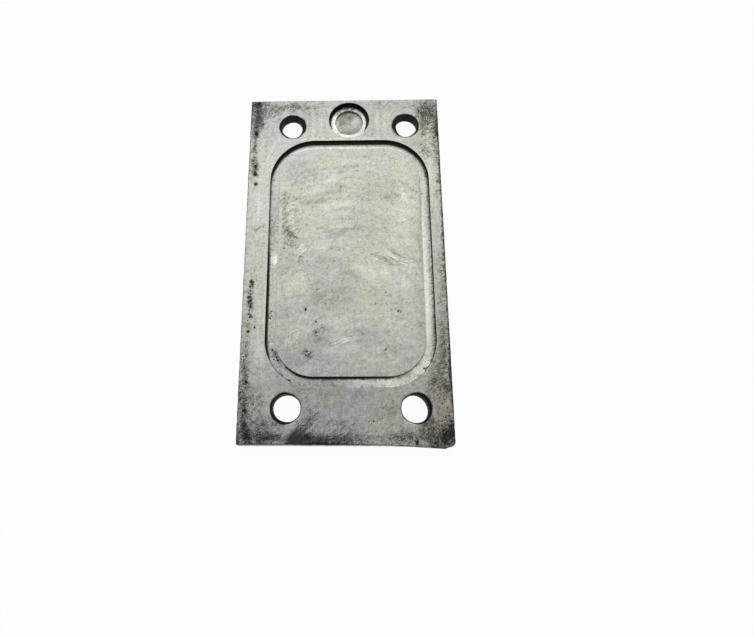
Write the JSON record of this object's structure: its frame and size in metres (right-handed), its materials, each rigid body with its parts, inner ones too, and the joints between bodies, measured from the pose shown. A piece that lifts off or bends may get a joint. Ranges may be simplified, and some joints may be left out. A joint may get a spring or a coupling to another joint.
{
  "type": "rectangular cover plate",
  "caption": "Flat steel cover plate with a seal groove round a raised island, bolt holes near its corners and a stepped blind recess at one end.",
  "frame": {"origin": "centre of the underside, halfway along the plate's length and width", "axes": "+X across the plate, +Y along it towards the end with the stepped recess, +Z out of the machined face"},
  "size_m": [0.075, 0.137, 0.005],
  "materials": {
    "machined_steel": "ground and scuffed, with dark oily stains along its edges"
  },
  "bodies": {
    "root": {"cover_plate": "machined_steel"}
  },
  "joints": []
}
